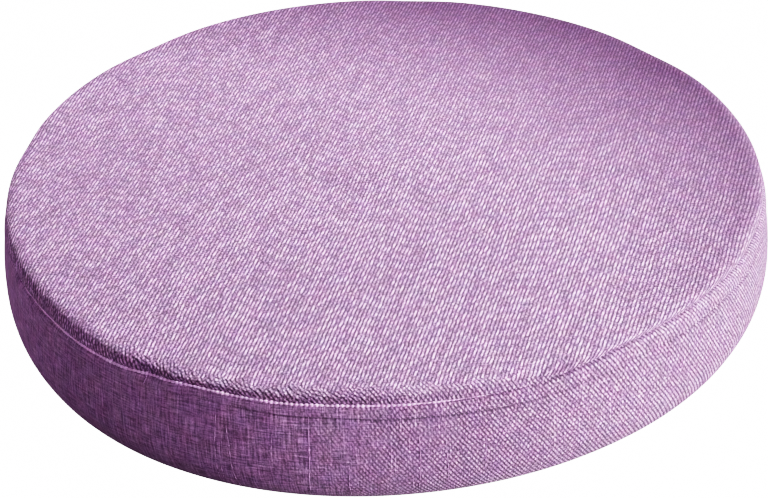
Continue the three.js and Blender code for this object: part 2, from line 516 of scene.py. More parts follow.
def new_group(name, settings, **outputs):
    """A shader node group that reads a Place, in millimetres on the cloth, and settings with their defaults,
    and puts out sockets of these kinds."""
    group = bpy.data.node_groups.new(name, "ShaderNodeTree")
    group.interface.new_socket("Place", in_out="INPUT", socket_type="NodeSocketVector")
    for label, default in settings.items():
        socket = group.interface.new_socket(
            label.replace("_", " "), in_out="INPUT", socket_type="NodeSocketFloat")
        socket.default_value = default
    for label, kind in outputs.items():
        group.interface.new_socket(label, in_out="OUTPUT", socket_type="NodeSocket" + kind)
    start, end = (group.nodes.new("NodeGroup" + side) for side in ("Input", "Output"))
    return group, Nodes(group), start.outputs, end.inputs


def wave_from_middle(nodes, offset):
    """1 on the middle of a rib, 0 half a pitch away: half of one plus the cosine."""
    turned = nodes.math("COSINE", nodes.math("MULTIPLY", offset, 2 * math.pi))
    return nodes.math("MULTIPLY_ADD", turned, 0.5, 0.5)


# Weaves: leans in degrees and pitches in millimetres of the ribs and of the lines across them, the share by
# which those part the ribs, how far neighbouring ribs' dashes shift, how much ribs waver, and their grain
PANEL_WEAVE = {
    "Rib_Lean": 74.5, "Rib_Pitch": 1.83, "Cross_Lean": 40.5, "Cross_Pitch": 3.85,
    "Cross_Share": 0.60, "Drift": 0.6, "Waver": 0.18, "Grain": 0.95,
}
BAND_WEAVE = {
    "Rib_Lean": 124.0, "Rib_Pitch": 1.88, "Cross_Lean": 61.0, "Cross_Pitch": 2.0,
    "Drift": 0.60, "Waver": 0.29, "Grain": 0.95,
}

# Noise of the weave in cycles a millimetre: its slow wander, the jitter of its ribs, and flecks
WANDER_SCALE = 0.05
JITTER_SCALE = 0.42
FLECK_SCALE = 1.05

# How a rib is rounded, how dull its dullest dash is, and what the tone and the height are made of
RIB_ROUNDING = 0.65
DULLEST_DASH = 0.58
DASH_TONE = 0.95
GAP_TONE = 0.02
SLOW_WAVER = 4.0
FLECK_SHARE = 1.2
GRAIN_TONE = 0.85
GRAIN_HEIGHT = 0.35

# Along a rib its strands are long, across it they are narrow
STRAND_STRETCH = (0.60, 1.5, 1.0)


def weave_group():
    """Ribs of yarn crossed by a second set of lines, which part them into dashes or beads. Tone runs from 0
    in the gaps to 1 on the palest yarn."""
    group, nodes, given, result = new_group("woven ribs", PANEL_WEAVE, Tone="Float", Height="Float")
    wander = nodes.drift(given["Place"], WANDER_SCALE)
    jitter = nodes.drift(given["Place"], JITTER_SCALE)
    slow = nodes.scaled(wander, nodes.math("MULTIPLY", given["Waver"], SLOW_WAVER))
    moved = nodes.vector("ADD", given["Place"], slow)
    moved = nodes.vector("ADD", moved, nodes.scaled(jitter, given["Waver"]))
    along_rib = nodes.turned(moved, given["Rib Lean"])
    rib = nodes.math("DIVIDE", nodes.parts(along_rib)[1], given["Rib Pitch"])
    rib_number = nodes.math("ROUND", rib)
    rib_chance = nodes.add("TexWhiteNoise", {"noise_dimensions": "1D"}, W=rib_number).outputs["Value"]
    _, cross_place = nodes.parts(nodes.turned(moved, given["Cross Lean"]))
    shift = nodes.math("MULTIPLY", nodes.math("SUBTRACT", rib_chance, 0.5), given["Drift"])
    cross = nodes.math("ADD", nodes.math("DIVIDE", cross_place, given["Cross Pitch"]), shift)
    cross_number = nodes.math("ROUND", cross)
    cell = nodes.place(rib_number, cross_number)
    chance = nodes.add("TexWhiteNoise", {"noise_dimensions": "2D"}, Vector=cell).outputs["Value"]
    ridge = wave_from_middle(nodes, nodes.math("SUBTRACT", rib, rib_number))
    bead = wave_from_middle(nodes, nodes.math("SUBTRACT", cross, cross_number))
    kept = nodes.math("SUBTRACT", 1.0, given["Cross Share"])
    beaded = nodes.math("MULTIPLY_ADD", bead, given["Cross Share"], kept)
    body = nodes.math("POWER", nodes.math("MULTIPLY", ridge, beaded), RIB_ROUNDING)
    chosen = nodes.math("MULTIPLY_ADD", chance, 1.0 - DULLEST_DASH, DULLEST_DASH)
    drawn = nodes.math("MULTIPLY", body, chosen)
    strand = nodes.swing(nodes.vector("MULTIPLY", along_rib, STRAND_STRETCH), 1.0)
    fleck = nodes.swing(given["Place"], FLECK_SCALE, detail=1.0)
    both = nodes.math("ADD", strand, nodes.math("MULTIPLY", fleck, FLECK_SHARE))
    grain = nodes.math("MULTIPLY", both, given["Grain"])
    tone = nodes.math("MULTIPLY_ADD", drawn, DASH_TONE, GAP_TONE)
    nodes.put(result["Tone"], nodes.math("MULTIPLY_ADD", grain, GRAIN_TONE, tone, clamp=True))
    nodes.put(result["Height"], nodes.math("MULTIPLY_ADD", grain, GRAIN_HEIGHT, drawn))
    return group


# Slub threads of the cloth: (share of the tone, lean in degrees, length and width in millimetres, rarity)
PANEL_SLUBS = ((0.22, 40.0, 22.0, 1.0, 0.70), (0.16, 74.5, 16.0, 1.2, 0.68))
BAND_FLAT_SLUBS = ((0.22, 0.0, 10.0, 0.9, 0.64), (0.26, 90.0, 24.0, 1.0, 0.68))
SLUB_EDGE = 0.12


def slub_group():
    """Thin pale lines where a thread is thicker, long one way and narrow the other."""
    settings = {"Lean": 0.0, "Length": 14.0, "Width": 0.9, "Rarity": 0.66}
    group, nodes, given, result = new_group("slub threads", settings, Mask="Float")
    along, across = nodes.parts(nodes.turned(given["Place"], given["Lean"]))
    along = nodes.math("DIVIDE", along, given["Length"])
    across = nodes.math("DIVIDE", across, given["Width"])
    thread = nodes.noise(nodes.place(along, across), 1.0, detail=1.0)
    full = nodes.math("ADD", given["Rarity"], SLUB_EDGE)
    nodes.put(result["Mask"], nodes.ranged(thread, given["Rarity"], full))
    return group


# How far the melange strays from its colour in red, green and blue
TINT_REACH = (0.24, 0.30, 0.22)


def tint_group():
    """Slow drift of the dyed yarn between pinkish, greyish and bluish lilac, as a colour to multiply by."""
    group, nodes, given, result = new_group("melange tint", {"Patch": 10.0}, Tint="Color")
    patches = nodes.scaled(given["Place"], nodes.math("DIVIDE", 1.0, given["Patch"]))
    apart = nodes.vector("MULTIPLY", nodes.drift(patches, 1.0, detail=3.0, roughness=0.6), TINT_REACH)
    nodes.put(result["Tint"], nodes.vector("ADD", apart, (1.0, 1.0, 1.0)))
    return group


# Plain weave: noise in cycles a millimetre along and across its two sets of threads, and how they are mixed
LENGTHWISE = (0.11, 1.10, 1.0)
UPRIGHT = (1.10, 0.10, 1.0)
PLAIN_FLECKS = 1.1
UPRIGHT_SHARE = 1.1
PLAIN_FLECK_SHARE = 0.6
PLAIN_CONTRAST = 1.2
PLAIN_HEIGHT = 0.7


def plain_group():
    """Plain weave of thin threads both ways, with short thick places in each."""
    group, nodes, given, result = new_group("plain weave", {}, Tone="Float", Height="Float")
    lengthwise = nodes.noise(nodes.vector("MULTIPLY", given["Place"], LENGTHWISE), 1.0)
    upright = nodes.noise(nodes.vector("MULTIPLY", given["Place"], UPRIGHT), 1.0)
    fleck = nodes.noise(given["Place"], PLAIN_FLECKS, detail=1.0)
    threads = nodes.math("MULTIPLY_ADD", upright, UPRIGHT_SHARE, lengthwise)
    threads = nodes.math("MULTIPLY_ADD", fleck, PLAIN_FLECK_SHARE, threads)
    nodes.put(result["Tone"], nodes.math(
        "MULTIPLY_ADD", threads, PLAIN_CONTRAST, -PLAIN_CONTRAST, clamp=True))
    nodes.put(result["Height"], nodes.math("MULTIPLY", threads, PLAIN_HEIGHT))
    return group


# Linear colours of the yarn, from the deepest gap to the palest dash
YARN_TONES = (
    (0.00, (0.090, 0.053, 0.094)),
    (0.28, (0.195, 0.116, 0.201)),
    (0.55, (0.385, 0.232, 0.394)),
    (0.78, (0.630, 0.392, 0.640)),
    (1.00, (0.960, 0.640, 0.960)),
)


def yarn_colour(nodes, tone):
    """Colour ramp through YARN_TONES."""
    ramp = nodes.add("ValToRGB", Fac=tone)
    stops = ramp.color_ramp.elements
    while len(stops) < len(YARN_TONES):
        stops.new(0.5)
    for stop, (place, colour) in zip(stops, YARN_TONES):
        stop.position = place
        stop.color = (*colour, 1.0)
    return ramp.outputs["Color"]


def use_group(nodes, group, **inputs):
    """Places a node group in a material with its own values."""
    node = nodes.tree.nodes.new("ShaderNodeGroup")
    node.node_tree = group
    for name, value in inputs.items():
        nodes.put(node.inputs[name.replace("_", " ")], value)
    return node.outputs


def cloth_place(nodes):
    """Place on the cloth in millimetres, from the UV map that is in metres."""
    uv = nodes.add("UVMap", {"uv_map": "cloth"}).outputs["UV"]
    return nodes.scaled(uv, 1.0 / MM)


def faded(nodes, value, middle, share):
    """Draws a value towards the middle by a share: 1 leaves it as it is, 0 flattens it."""
    return nodes.math("MULTIPLY_ADD", nodes.math("SUBTRACT", value, middle), share, middle)


def mixed(nodes, share, first, second):
    """First where share is 0, second where it is 1."""
    return nodes.math("MULTIPLY_ADD", share, nodes.math("SUBTRACT", second, first), first)


def add_slubs(nodes, group, place, tone, height, slubs):
    """Adds each set of slub threads to tone and height by its share."""
    for share, lean, length, width, rarity in slubs:
        threads = use_group(nodes, group, Place=place, Lean=lean, Length=length, Width=width, Rarity=rarity)
        tone = nodes.math("MULTIPLY_ADD", threads["Mask"], share, tone, clamp=True)
        height = nodes.math("MULTIPLY_ADD", threads["Mask"], share, height)
    return tone, height


# The shader's constant values, and how strongly and how far in millimetres the weave is raised
CLOTH_SHADER = {"Roughness": 0.85, "Sheen Weight": 0.08, "Sheen Roughness": 0.5, "Specular IOR Level": 0.25}
WEAVE_STRENGTH = 0.7
WEAVE_RAISE = 0.35


def finish_cloth(material, nodes, groups, place, tone, height):
    """Colours the cloth by its tone and tint, raises it by its height, and sets the constant values."""
    shader = material.node_tree.nodes["Principled BSDF"]
    tint = use_group(nodes, groups["tint"], Place=place)["Tint"]
    nodes.put(shader.inputs["Base Color"], nodes.multiplied(yarn_colour(nodes, tone), tint))
    bump = nodes.add("Bump", Height=height, Strength=WEAVE_STRENGTH, Distance=WEAVE_RAISE * MM)
    nodes.put(shader.inputs["Normal"], bump.outputs["Normal"])
    for name, value in CLOTH_SHADER.items():
        shader.inputs[name].default_value = value


def new_material(name):
    """An empty node material and its helper."""
    material = bpy.data.materials.new(name)
    material.use_nodes = True
    return material, Nodes(material.node_tree)


# The panel's contrast and relief grow from the first value to the second, from this far towards +X and +Y to
# the middle and beyond, about a middle tone. The flattened contrast towards +X and +Y is painted shade.
SHADED_SIDE = (0.75, 0.66, 0.0)
SHADED_SIDE_REACH = 200.0
RELIEF_SHADED_TO_LIT = (0.48, 1.14)
PANEL_MIDDLE = 0.52


def panel_material(groups):
    """The top and bottom panels. The ribs are flattest at +X and +Y, on the back right, where their
    flattened tone is painted shade.
    """
    material, nodes = new_material("panel_cloth")
    place = cloth_place(nodes)
    ribs = use_group(nodes, groups["weave"], Place=place, **PANEL_WEAVE)
    tone, height = add_slubs(nodes, groups["slub"], place, ribs["Tone"], ribs["Height"], PANEL_SLUBS)
    # Painted shade: the weave's tone is flattened towards the back right, where the top lies in shade
    relief = nodes.ranged(nodes.vector("DOT_PRODUCT", place, SHADED_SIDE), SHADED_SIDE_REACH, 0.0, *RELIEF_SHADED_TO_LIT)
    tone = faded(nodes, tone, PANEL_MIDDLE, relief)
    finish_cloth(material, nodes, groups, place, tone, nodes.math("MULTIPLY", height, relief))
    return material


# Path length from the lower seam up the band to where the roll of the top panel starts, in millimetres, and
# the length over which it does
ROLL_FOOT = 64.0
ROLL_EASE = 2.0

# Furrows of drawn cloth over the front of the roll: spacing, lean, wander along it and its cycles a
# millimetre, the degrees between which they start and end, and where they start above the roll's foot
FURROW_SPACING = 4.6
FURROW_LEAN = 1.6
FURROW_WANDER = 9.0
FURROW_WANDER_SCALE = 0.10
FURROWS_START = (-134.0, -125.0)
FURROWS_END = (-86.0, -96.0)
FURROWS_FOOT = (0.3, 2.0)

# Where the band changes, in degrees, and from and to what: how far its ribs are parted into beads, where the
# plain weave takes over, and its relief there. The plain weave and the lower relief on the left are painted
# shade.
BEADS_AT = (-92.0, -46.0)
BEAD_SHARES = (0.70, 0.55)
PLAIN_AT = (-76.0, -112.0)
PLAIN_RAGGED = 90.0
PLAIN_OFF_ROLL = 0.85
RELIEF_AT = (-86.0, -122.0)
BAND_RELIEF = (1.0, 0.50)
BAND_MIDDLE = 0.44

# What painted shade in creases and furrows takes off the tone, and what a furrow takes off the height
CREASE_PAINTED_SHADE = -0.34
FURROW_PAINTED_SHADE = -0.20
FURROW_HEIGHT = -1.4


def between(nodes, arc, degrees, values=(0.0, 1.0)):
    """Eases from one value to the other between two places in degrees, by the arc in millimetres round the
    band from the back, where its UV starts."""
    low, high = (math.radians((place - 90.0) % 360.0) * WIDEST_RADIUS for place in degrees)
    return nodes.ranged(arc, low, high, *values)


def drawn_furrows(nodes, place, arc, up):
    """1 in the middle of a furrow, 0 between two and off the drawn front of the roll: half of one plus the
    cosine, squared, of the arc and of the way up the roll times the lean."""
    above = nodes.math("SUBTRACT", up, ROLL_FOOT)
    wander = nodes.math("MULTIPLY", nodes.swing(place, FURROW_WANDER_SCALE), FURROW_WANDER)
    slant = nodes.math("ADD", nodes.math("MULTIPLY_ADD", above, FURROW_LEAN, arc), wander)
    wave = wave_from_middle(nodes, nodes.math("DIVIDE", slant, FURROW_SPACING))
    inside = nodes.math("MULTIPLY", between(nodes, arc, FURROWS_START), between(nodes, arc, FURROWS_END))
    lifted = nodes.math("MULTIPLY", inside, nodes.ranged(above, *FURROWS_FOOT))
    return nodes.math("MULTIPLY", nodes.math("POWER", wave, 2.0), lifted)


def band_material(groups):
    """The side band. Its slant is broken into beads in front, and gives way to a flatter plain weave with
    long slubs towards the left, where its flatter, lower-contrast look is painted shade for ribs that catch
    no light."""
    material, nodes = new_material("band_cloth")
    place = cloth_place(nodes)
    arc, up = nodes.parts(place)
    on_roll = nodes.ranged(up, ROLL_FOOT, ROLL_FOOT + ROLL_EASE)
    beads = between(nodes, arc, BEADS_AT, BEAD_SHARES)
    ribs = use_group(nodes, groups["weave"], Place=place, Cross_Share=beads, **BAND_WEAVE)
    plain = use_group(nodes, groups["plain"], Place=place)
    # Painted shade: towards the left the ribs give way to the flatter plain weave with less contrast, as
    # ribs in shade catch no light
    ragged = nodes.math("MULTIPLY_ADD", nodes.swing(place, WANDER_SCALE), PLAIN_RAGGED, arc)
    off_roll = nodes.math("MULTIPLY_ADD", on_roll, -PLAIN_OFF_ROLL, 1.0)
    flat = nodes.math("MULTIPLY", between(nodes, ragged, PLAIN_AT), off_roll)
    tone = mixed(nodes, flat, ribs["Tone"], plain["Tone"])
    height = mixed(nodes, flat, ribs["Height"], plain["Height"])
    tone, height = add_slubs(nodes, groups["slub"], place, tone, height, BAND_FLAT_SLUBS)
    relief = mixed(nodes, on_roll, between(nodes, arc, RELIEF_AT, BAND_RELIEF), 1.0)
    # Painted shade: the band's tone is darkened along the furrows, the crease and the sewn line
    furrow = drawn_furrows(nodes, place, arc, up)
    crease = nodes.add("Attribute", {"attribute_name": "crease"}).outputs["Fac"]
    tone = nodes.math("MULTIPLY_ADD", crease, CREASE_PAINTED_SHADE, faded(nodes, tone, BAND_MIDDLE, relief))
    tone = nodes.math("MULTIPLY_ADD", furrow, FURROW_PAINTED_SHADE, tone, clamp=True)
    height = nodes.math("MULTIPLY_ADD", furrow, FURROW_HEIGHT, nodes.math("MULTIPLY", height, relief))
    finish_cloth(material, nodes, groups, place, tone, height)
    return material


# Single threads: cycles a millimetre and share of the tone of their grain and of their slow drift, what both
# add in the mean, and how far the grain is raised
YARN_GRAIN = (0.9, 0.6)
YARN_DRIFT = (0.12, 0.5)
YARN_MEAN = 0.55
YARN_HEIGHT = 0.5


def yarn_material(groups, name, palest):
    """Single threads and folded edges, with a little grain: palest is the tone of their middle."""
    material, nodes = new_material(name)
    place = nodes.scaled(nodes.add("TexCoord").outputs["Object"], 1.0 / MM)
    grain, slow = (
        nodes.noise(place, scale, detail=1.0, dimensions="3D") for scale, _ in (YARN_GRAIN, YARN_DRIFT))
    tone = nodes.math("MULTIPLY_ADD", slow, YARN_DRIFT[1], palest - YARN_MEAN)
    tone = nodes.math("MULTIPLY_ADD", grain, YARN_GRAIN[1], tone, clamp=True)
    finish_cloth(material, nodes, groups, place, tone, nodes.math("MULTIPLY", grain, YARN_HEIGHT))
    return material


def cushion_materials():
    """The panels' cloth, the band's cloth, the yarn along the seams' folds, paled partly by painted
    highlight, and that of the slubs.
    """
    groups = {"weave": weave_group(), "plain": plain_group(), "slub": slub_group(), "tint": tint_group()}
    # The folds' pale tone is partly the yarn's own and partly painted highlight, the light their beads catch
    folds = yarn_material(groups, "highlit_fold_yarn", 0.92)
    slubs = yarn_material(groups, "slub_yarn", 0.58)
    return panel_material(groups), band_material(groups), folds, slubs


def periodic(values, count):
    """Resamples values, turns first, to another count of places round the ring, by their waves."""
    waves = np.fft.rfft(values, axis=0)
    room = np.zeros((count // 2 + 1,) + values.shape[1:], complex)
    kept = min(len(waves), len(room))
    room[:kept] = waves[:kept]
    return np.fft.irfft(room, count, axis=0) * (count / len(values))


# The cloth is let go for a moment: how coarse its rings are, points a ring, frames, and greatest move in
# millimetres. The foam under it lets through no wrinkle shorter than the last value.
REST_COARSENESS = 4.0
REST_TURNS = 160
REST_FRAMES = 20
GREATEST_MOVE = 2.5
REST_WRINKLE = 75.0

# What the resting cloth is like, and the filling's push
REST_CLOTH = {
    "quality": 6, "mass": 0.3, "tension_stiffness": 12.0, "compression_stiffness": 4.0,
    "shear_stiffness": 5.0, "bending_stiffness": 0.5, "shrink_min": -0.003,
    "vertex_group_mass": "held", "pin_stiffness": 1.0,
    "use_pressure": True, "uniform_pressure_force": 4.0,
}

# The share of the hold that goes between the seams, and the millimetres from a seam over which it goes
LET_GO = 0.72
LET_GO_OVER = (2.0, 26.0)


def hold_shares(section, turns):
    """How firmly each point is held while the cloth rests: whole at the seams and under the pad, and least
    on the band and on the top panel away from their seams."""
    path = section.path
    seams = [path[section.named[name]] for name in ("under sewn line", "upper sewn line")]
    apart = np.min([abs(path - seam) for seam in seams], axis=0)
    share = 1.0 - LET_GO * smooth(apart, *LET_GO_OVER)
    share[path <= seams[0]] = 1.0
    return by_point(np.repeat(share[:, None], turns, axis=1))


def rested_moves(turns):
    """Lets a coarse copy of the cover settle over the push of its filling, and gives how far each of its
    points moved, as rings by turns by three on the fine grid's turns, with the coarse path lengths."""
    section = Section(REST_COARSENESS)
    mesh, _ = grid_mesh("resting_cloth", uneven(section, REST_TURNS))
    cloth = add_object("resting_cloth", mesh)
    held = cloth.vertex_groups.new(name="held")
    for number, share in enumerate(hold_shares(section, REST_TURNS)):
        held.add([number], float(share), "REPLACE")
    modifier = cloth.modifiers.new("rest", "CLOTH")
    settings = modifier.settings
    for name, value in REST_CLOTH.items():
        setattr(settings, name, value)
    settings.effector_weights.gravity = 0.0
    modifier.point_cache.frame_start = 1
    modifier.point_cache.frame_end = REST_FRAMES
    for number in range(1, REST_FRAMES + 1):
        bpy.context.scene.frame_set(number)
    depsgraph = bpy.context.evaluated_depsgraph_get()
    rested = cloth.evaluated_get(depsgraph).to_mesh()
    places = np.empty(len(mesh.vertices) * 3)
    rested.vertices.foreach_get("co", places)
    cloth.evaluated_get(depsgraph).to_mesh_clear()
    before = np.empty_like(places)
    mesh.vertices.foreach_get("co", before)
    bpy.data.objects.remove(cloth)
    bpy.data.meshes.remove(mesh)
    bpy.context.scene.frame_set(1)
    moves = (places - before).reshape(-1, 3) / MM
    length = np.linalg.norm(moves, axis=1, keepdims=True)
    moves = moves / np.maximum(length, 1e-9) * GREATEST_MOVE * np.tanh(length / GREATEST_MOVE)
    rings = len(section.path)
    field = np.empty((rings, REST_TURNS, 3))
    field[0], field[-1] = moves[0], moves[-1]
    field[1:-1] = moves[1:-1].reshape(rings - 2, REST_TURNS, 3)
    calm = foam_smoothed(section, field).transpose(1, 0, 2)
    return section.path, periodic(calm, turns).transpose(1, 0, 2)


def foam_smoothed(section, field):
    """Takes the short wrinkles out of the moves: round each ring its waves fade by a bell curve of their
    number over the most that fit, and across the rings each row becomes a bell-weighted mean."""
    waves = np.fft.rfft(field, axis=1)
    most = 2 * math.pi * section.radius / REST_WRINKLE + 0.5
    passed = np.exp(-((np.arange(waves.shape[1]) / most[:, None]) ** 2))
    kept = np.fft.irfft(waves * passed[..., None], field.shape[1], axis=1)
    apart = (section.path[:, None] - section.path) / (REST_WRINKLE / 5)
    bell = np.exp(-(apart**2))
    return np.einsum("ij,jkl->ikl", bell / bell.sum(axis=1, keepdims=True), kept)


def cover_grid(section, turns):
    """The cover's points in millimetres: the uneven grid, moved as the cloth rests, then raised over the
    seam allowance and pressed in along the drawn lines of the roll."""
    grid = uneven(section, turns)
    rest_path, moves = rested_moves(turns)
    grid = grid + through(rest_path, moves, section.path)
    grid[..., 2] = np.maximum(grid[..., 2], 0.0)
    proud = allowance(section, turns)[0] - drawn_cloth(section, turns)
    return grid + grid_normals(grid) * proud[..., None]


def grid_normals(grid):
    """Outward direction at each point of the grid."""
    along = np.gradient(grid, axis=0)
    around = np.roll(grid, -1, axis=1) - np.roll(grid, 1, axis=1)
    normal = np.cross(around, along)
    size = np.linalg.norm(normal, axis=-1, keepdims=True)
    return normal / np.maximum(size, 1e-9)


def on_grid(values, section, path, angle):
    """Reads values, rings by turns by anything, at path lengths and angles, straight between grid points."""
    turns = values.shape[1]
    ring = np.interp(path, section.path, np.arange(len(section.path)))
    turn = np.mod(angle - START_ANGLE, 2 * math.pi) / (2 * math.pi) * turns
    low_ring = np.clip(ring.astype(int), 0, len(section.path) - 2)
    low_turn = turn.astype(int) % turns
    ring_share = (ring - low_ring)[..., None]
    turn_share = (turn - np.floor(turn))[..., None]
    next_turn = (low_turn + 1) % turns
    first, second = (
        values[row, low_turn] * (1 - turn_share) + values[row, next_turn] * turn_share
        for row in (low_ring, low_ring + 1))
    return first * (1 - ring_share) + second * ring_share


def build_cover(section, grid, panel, band):
    """The whole cover as one closed piece."""
    mesh = cover_mesh("cushion_cover", section, grid)
    mesh.materials.append(panel)
    mesh.materials.append(band)
    cover = add_object("cushion_cover", mesh)
    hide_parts("cushion")
    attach(cover, "root")


def tube_points(middle, outward, radius, sides):
    """Points round each station of a bent tube, stations by sides by three. The tube's path is worked out
    from its middles, and its first side faces outward."""
    ahead = np.gradient(middle, axis=0)
    ahead /= np.linalg.norm(ahead, axis=-1, keepdims=True)
    across = np.cross(ahead, outward)
    across /= np.linalg.norm(across, axis=-1, keepdims=True)
    out = np.cross(across, ahead)
    turn = np.arange(sides) * (2 * math.pi / sides)
    ring = out[:, None] * np.cos(turn)[:, None] + across[:, None] * np.sin(turn)[:, None]
    return middle[:, None] + ring * radius[:, None, None]


def tube_quads(stations, sides, closed):
    """Quads between a tube's neighbouring stations, wound to face outwards. A closed tube has no ends."""
    station = np.arange(stations if closed else stations - 1)[:, None]
    side = np.arange(sides)
    following, beside = (station + 1) % stations, (side + 1) % sides
    corners = ((station, side), (station, beside), (following, beside), (following, side))
    return np.stack([row * sides + around for row, around in corners], axis=-1).reshape(-1, 4)


def add_piece(name, points, faces, material):
    """A smooth closed piece that rides with the cushion, from points in millimetres."""
    mesh = bpy.data.meshes.new(name)
    mesh.from_pydata((points * MM).tolist(), [], faces)
    mesh.polygons.foreach_set("use_smooth", np.ones(len(mesh.polygons), bool))
    mesh.materials.append(material)
    mesh.update()
    piece = add_object(name, mesh)
    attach(piece, "root")


# The folded edge of the cloth along a seam: sides, steps and pitch of its scallops, how wide it is between
# two of them, how unlike they are, and how far it lies from the sewn line towards the lip
FOLD_SIDES = 8
SCALLOP_STEPS = 6
SCALLOP_PITCH = 2.4
FOLD_NARROW = 0.55
FOLD_UNLIKE = 0.26
FOLD_TO_LIP = 0.4

# How far the fold stands out of its groove: (degrees round the edge, millimetres)
FOLD_PROUD = (
    (-180.0, -0.70), (-158.0, -0.50), (-145.0, 0.00), (-128.0, 0.75), (-100.0, 0.90),
    (-88.0, 0.15), (-78.0, -0.75), (-60.0, -1.00), (60.0, -0.90), (180.0, -0.70),
)


def wrapped(values):
    """Values round a ring, with two more at each end."""
    return np.concatenate([values[-2:], values, values[:2]])


def seam_fold(name, section, grid, seam, thickness, material):
    """A closed tube along a seam, pinched into beads by its stitches: the square root of the share of a
    cosine swells each bead and narrows between two."""
    count = round(2 * math.pi * WIDEST_RADIUS / SCALLOP_PITCH) * SCALLOP_STEPS
    ring = section.named[seam + " sewn line"]
    sewn = periodic(grid[ring], count)
    lip = periodic(grid[section.named[seam + " lip"]], count)
    outward = periodic(grid_normals(grid)[ring], count)
    number = np.arange(count)
    bead = np.sqrt(0.5 - 0.5 * np.cos(2 * math.pi * number / SCALLOP_STEPS))
    unlike = 1.0 + FOLD_UNLIKE * np.sin(number * 0.173) * np.sin(number * 0.0531 + 1.0)
    radius = thickness * (FOLD_NARROW + (1.0 - FOLD_NARROW) * bead) * unlike
    known, proud = np.array(FOLD_PROUD).T
    stands = np.interp(to_degrees(turn_angles(count)), known, proud)
    middle = (1.0 - FOLD_TO_LIP) * sewn + FOLD_TO_LIP * lip + outward * stands[:, None]
    points = tube_points(wrapped(middle), wrapped(outward), wrapped(radius), FOLD_SIDES)[2:-2]
    add_piece(name, points.reshape(-1, 3), tube_quads(count, FOLD_SIDES, True).tolist(), material)


# Slubs that stand out of the band: (degrees at the foot, at the head, height of foot, of head, thickness)
BAND_SLUBS = (
    (-114.6, -114.0, 4.0, 55.0, 0.24), (-113.9, -113.2, 10.0, 40.0, 0.20), (-111.8, -112.6, 6.0, 46.0, 0.26),
    (-101.5, -101.0, 4.0, 53.0, 0.30), (-86.5, -86.2, 8.0, 50.0, 0.27), (-82.5, -82.8, 6.0, 50.0, 0.26),
    (-106.4, -106.2, 22.0, 42.0, 0.19), (-96.0, -95.9, 6.0, 28.0, 0.21), (-77.4, -77.2, 12.0, 44.0, 0.21),
    (-66.8, -66.9, 6.0, 32.0, 0.20), (-121.5, -121.2, 12.0, 38.0, 0.18), (-131.0, -130.8, 10.0, 34.0, 0.18),
    (-125.5, -125.2, 54.0, 61.0, 0.40),
)
SLUB_STATIONS = 60
SLUB_SIDES = 6

# A slub's wander along the band in millimetres, and as shares of its thickness how thin it ends, how deep it
# lies and how far it dips
SLUB_WANDER = 0.22
SLUB_END = 0.25
SLUB_SUNK = 0.35
SLUB_DIP = 0.45


def slub_yarns(section, grid, material):
    """Thicker threads of the band, each a tapered tube that wanders a little and dips in and out of the
    weave."""
    normals = grid_normals(grid)
    share = np.linspace(0.0, 1.0, SLUB_STATIONS)
    rising = np.arange(section.named["under lip"], section.named["rim"] + 1)
    points, faces = [], []
    for number, (foot_at, head_at, foot, head, thickness) in enumerate(BAND_SLUBS):
        height = foot + (head - foot) * share
        wander = SLUB_WANDER * np.sin(share * 9.0 + number) / WIDEST_RADIUS
        angle = np.radians(foot_at + (head_at - foot_at) * share) + wander
        path = np.interp(height, section.height[rising], section.path[rising])
        middle = on_grid(grid, section, path, angle)
        outward = on_grid(normals, section, path, angle)
        taper = SLUB_END + (1.0 - SLUB_END) * np.sin(math.pi * share) ** 0.5
        radius = thickness * taper * (1 + 0.2 * np.sin(share * 31 + number))
        dips = ripple(share, ((1.0, 37.0, 2.0 * number), (0.7, 61.0, number)))
        sunk = thickness * (SLUB_SUNK + SLUB_DIP * dips)
        tube = tube_points(middle - outward * sunk[:, None], outward, radius, SLUB_SIDES)
        start = number * SLUB_STATIONS * SLUB_SIDES
        last = start + (SLUB_STATIONS - 1) * SLUB_SIDES
        faces += (tube_quads(SLUB_STATIONS, SLUB_SIDES, False) + start).tolist()
        faces.append(list(reversed(range(start, start + SLUB_SIDES))))
        faces.append(list(range(last, last + SLUB_SIDES)))
        points.append(tube.reshape(-1, 3))
    add_piece("slub_yarns", np.concatenate(points), faces, material)


# The stage: the floor's reach in metres and its glow, the light that the tone curve turns to pure white, and
# the colours of the floor and of the room's fill
FLOOR_REACH = 4.0
FLOOR_GLOW = 0.96
WHITE_LIGHT = 2.82
SEEN_FLOOR = (0.9, 0.9, 0.9, 1.0)
UNSEEN_FLOOR = (0.13, 0.10, 0.13, 1.0)
FILL_COLOUR = (1.0, 0.62, 1.05, 1.0)
FILL_STRENGTH = 0.02


def mixed_shaders(nodes, share, first, second):
    """First shader where share is 0, second where it is 1."""
    node = nodes.add("MixShader", Fac=share)
    nodes.put(node.inputs[1], first.outputs[0])
    nodes.put(node.inputs[2], second.outputs[0])
    return node


def end_tree(nodes, kind, unseen, seen):
    """Ends a tree with one shader for the camera and another for all other light."""
    either = mixed_shaders(nodes, nodes.add("LightPath").outputs["Is Camera Ray"], unseen, seen)
    nodes.put(nodes.add("Output" + kind).inputs["Surface"], either.outputs[0])


